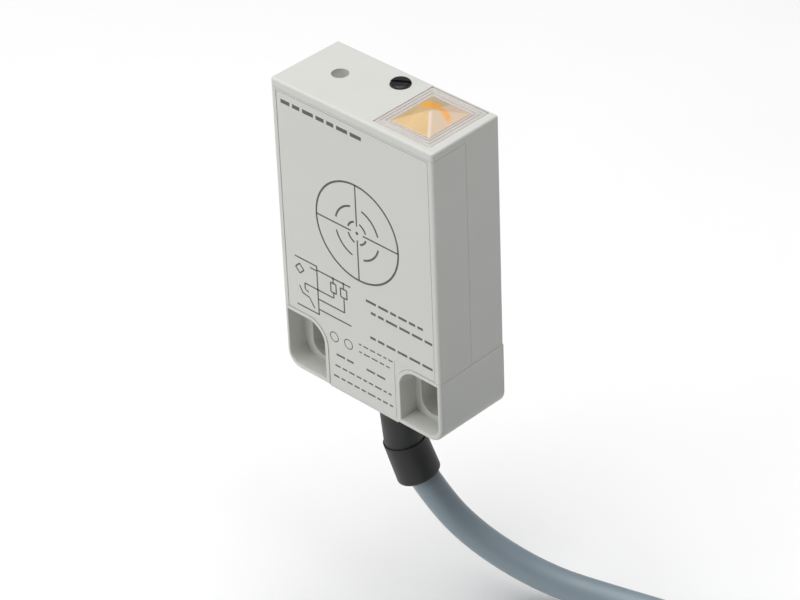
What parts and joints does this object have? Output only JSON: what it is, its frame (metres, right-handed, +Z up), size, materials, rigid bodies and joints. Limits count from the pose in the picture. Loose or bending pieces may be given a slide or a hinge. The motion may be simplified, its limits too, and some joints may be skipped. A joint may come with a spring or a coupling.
{
  "type": "proximity sensor",
  "caption": "Flat rectangular proximity sensor with slotted fixing feet, a lens window on top, a turnable sensitivity adjuster and a round cable ending in bare wires.",
  "frame": {"origin": "on the back mounting face, midway between the middles of the two fixing slots", "axes": "-Y is the sensing face's direction, +Y points into the surface it is fixed to, +Z points up to the lens window and adjuster, +X is to the right seen from the sensing side"},
  "size_m": [0.1291, 0.0663, 0.0987],
  "materials": {
    "housing": "satin grey moulding",
    "window": "clear moulding, amber where the lens stands",
    "light_box": "white moulding",
    "board": "green solder resist",
    "lamp": "white case, yellow fill",
    "spindle": "black moulding",
    "seal": "black ring",
    "screw_brass": "turned",
    "trimmer_case": "blue moulding",
    "element": "ceramic with a dark track",
    "carriage": "natural moulding",
    "copper": "bare copper",
    "tinned": "tinned",
    "chip_black": "black moulding",
    "capacitor": "yellow moulding, dark polarity bar",
    "chip_ceramic": "tan ceramic",
    "boot": "fine matt black",
    "clamp": "plain",
    "core_brown": "brown insulation",
    "core_white": "white insulation",
    "core_black": "black insulation",
    "core_blue": "blue insulation",
    "cable_sheath": "smooth matt grey sheath",
    "tie": "black strap"
  },
  "bodies": {
    "housing": {"rear_housing": "housing", "front_cover": "housing", "led_window": "window", "light_box": "light_box", "led_board": "board", "circuit_board": "board", "electrode_board": "board", "output_led": "lamp", "trimmer_body": "trimmer_case", "trimmer_element": "element", "sensing_electrode": "copper", "guard_ring": "copper", "wire_tips": "copper", "trimmer_pins": "tinned", "board_links": "tinned", "electrode_shield": "tinned", "ic_legs": "tinned", "oscillator_ic": "chip_black", "comparator_ic": "chip_black", "output_transistors": "chip_black", "surge_diodes": "chip_black", "chip_resistors": "chip_black", "storage_capacitors": "capacitor", "chip_capacitors": "chip_ceramic", "strain_relief_bush": "boot", "strain_relief_sleeve": "boot", "cable_clamp": "clamp", "wire_brown": "core_brown", "tail_wire_brown": "core_brown", "wire_white": "core_white", "tail_wire_white": "core_white", "wire_black": "core_black", "tail_wire_black": "core_black", "wire_blue": "core_blue", "tail_wire_blue": "core_blue", "cable": "cable_sheath", "cable_coil": "cable_sheath", "cable_tail": "cable_sheath", "coil_tie": "tie"},
    "adjuster": {"adjuster_spindle": "spindle", "spindle_seal": "seal", "trimmer_lead_screw": "screw_brass"},
    "carriage": {"trimmer_carriage": "carriage", "trimmer_wiper": "copper"}
  },
  "joints": [
    {"name": "adjuster_turn", "type": "hinge", "parent": "housing", "child": "adjuster", "pos_m": [-0.00045, -0.0032, 0.0491], "axis": [0, 0, 1], "range_deg": [-1980, 1980]},
    {"name": "carriage_slide", "type": "slide", "parent": "housing", "child": "carriage", "axis": [0, 0, 1], "range_m": [-0.00441, 0.00441]}
  ],
  "couplings": [
    {"joint": "carriage_slide", "follows": "adjuster_turn", "m_per_rad": 0.00012732}
  ]
}
